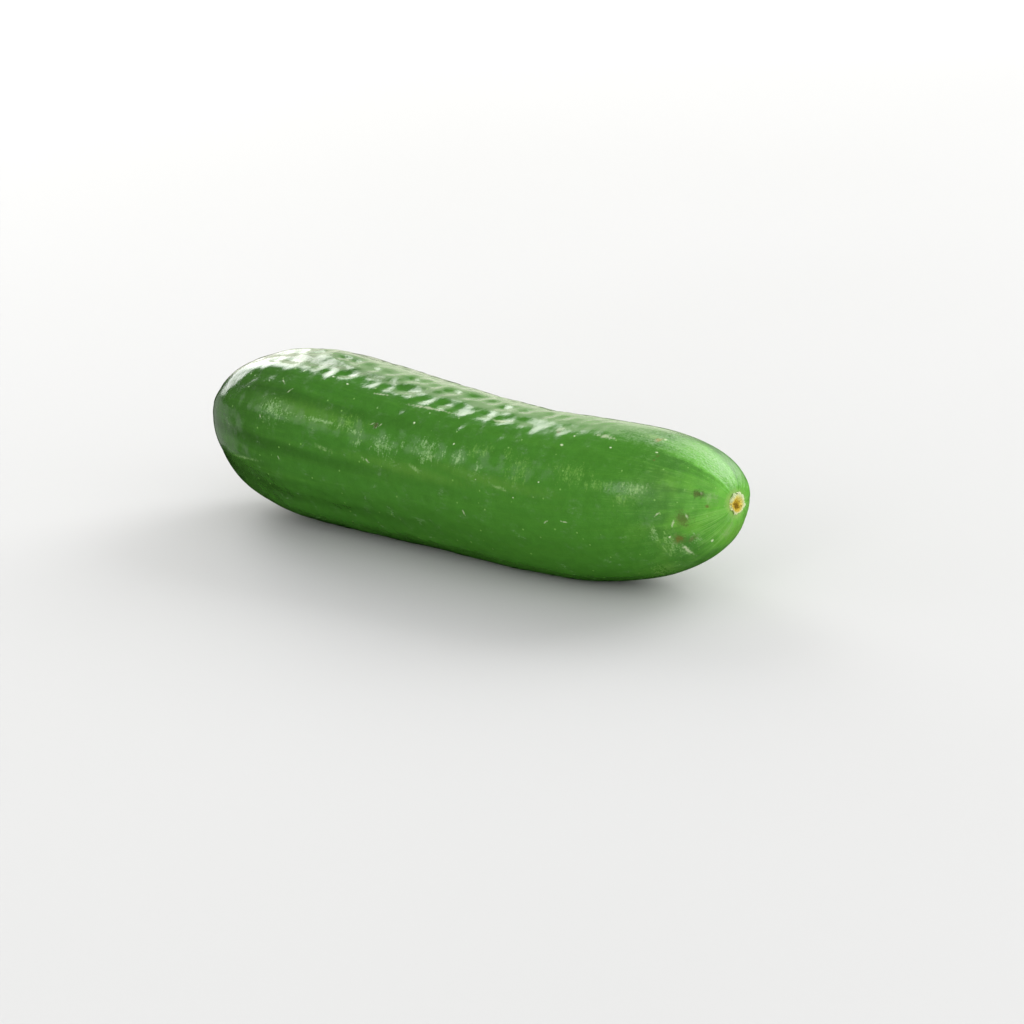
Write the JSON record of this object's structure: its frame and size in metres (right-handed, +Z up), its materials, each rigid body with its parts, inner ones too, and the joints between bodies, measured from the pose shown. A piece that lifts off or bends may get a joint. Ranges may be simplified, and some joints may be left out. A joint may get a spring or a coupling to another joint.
{
  "type": "baby cucumber",
  "caption": "Whole baby cucumber lying on its side: a short, gently bent, glossy green fruit with low ribs and dimples, a cut stem stub and the dried flower base at its tip.",
  "frame": {"origin": "on the surface the fruit rests on, under the middle of its box", "axes": "+X along the fruit towards the blossom end, +Z up, the fruit's hollow side turned to +Y and +Z"},
  "size_m": [0.1332, 0.038, 0.0343],
  "materials": {
    "skin": "glossy waxy green vegetable skin",
    "stem": "dull, dry, pale green cut stem",
    "dried_flower": "matte, corky, cream and orange"
  },
  "bodies": {
    "root": {"fruit": "skin", "stem_stub": "stem", "flower_remnant": "dried_flower"}
  },
  "joints": []
}
